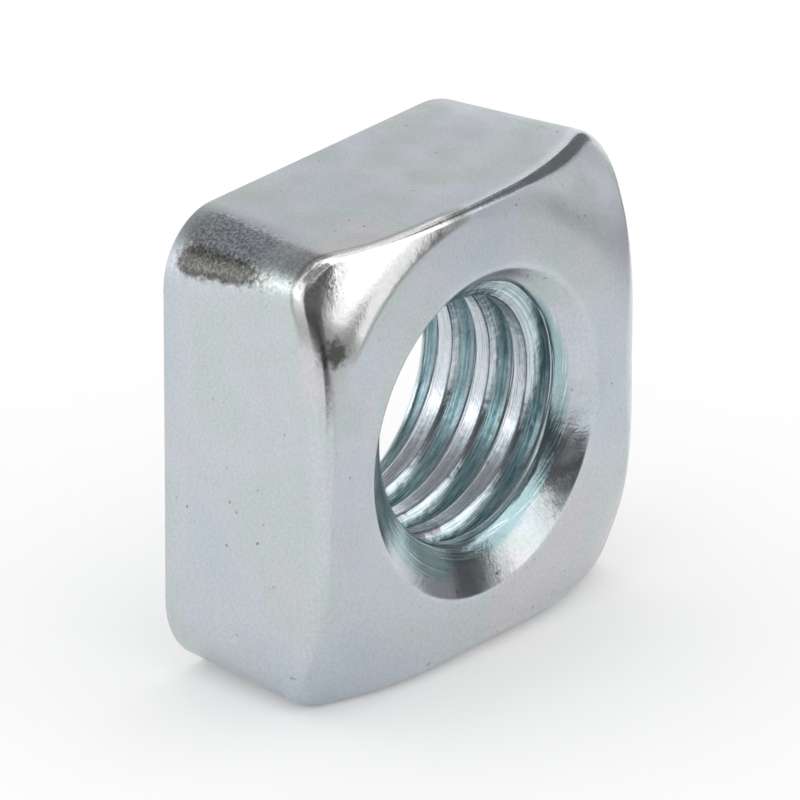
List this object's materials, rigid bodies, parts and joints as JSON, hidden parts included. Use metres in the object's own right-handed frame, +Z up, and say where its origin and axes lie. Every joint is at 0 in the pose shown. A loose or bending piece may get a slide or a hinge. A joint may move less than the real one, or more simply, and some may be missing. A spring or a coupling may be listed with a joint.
{
  "type": "square nut",
  "caption": "Zinc-plated square nut with a crowned, corner-chamfered face and a countersunk right-hand metric thread through it.",
  "frame": {"origin": "centre of the resting flat's footprint, on the surface that the nut stands on", "axes": "+Z up, -Y out of the crowned face along the bore, +X to the right seen from the crowned face"},
  "size_m": [0.01, 0.0044, 0.01],
  "materials": {
    "zinc_plating": "satin bright zinc plating with a faint blue cast"
  },
  "bodies": {
    "root": {"square_nut": "zinc_plating"}
  },
  "joints": []
}
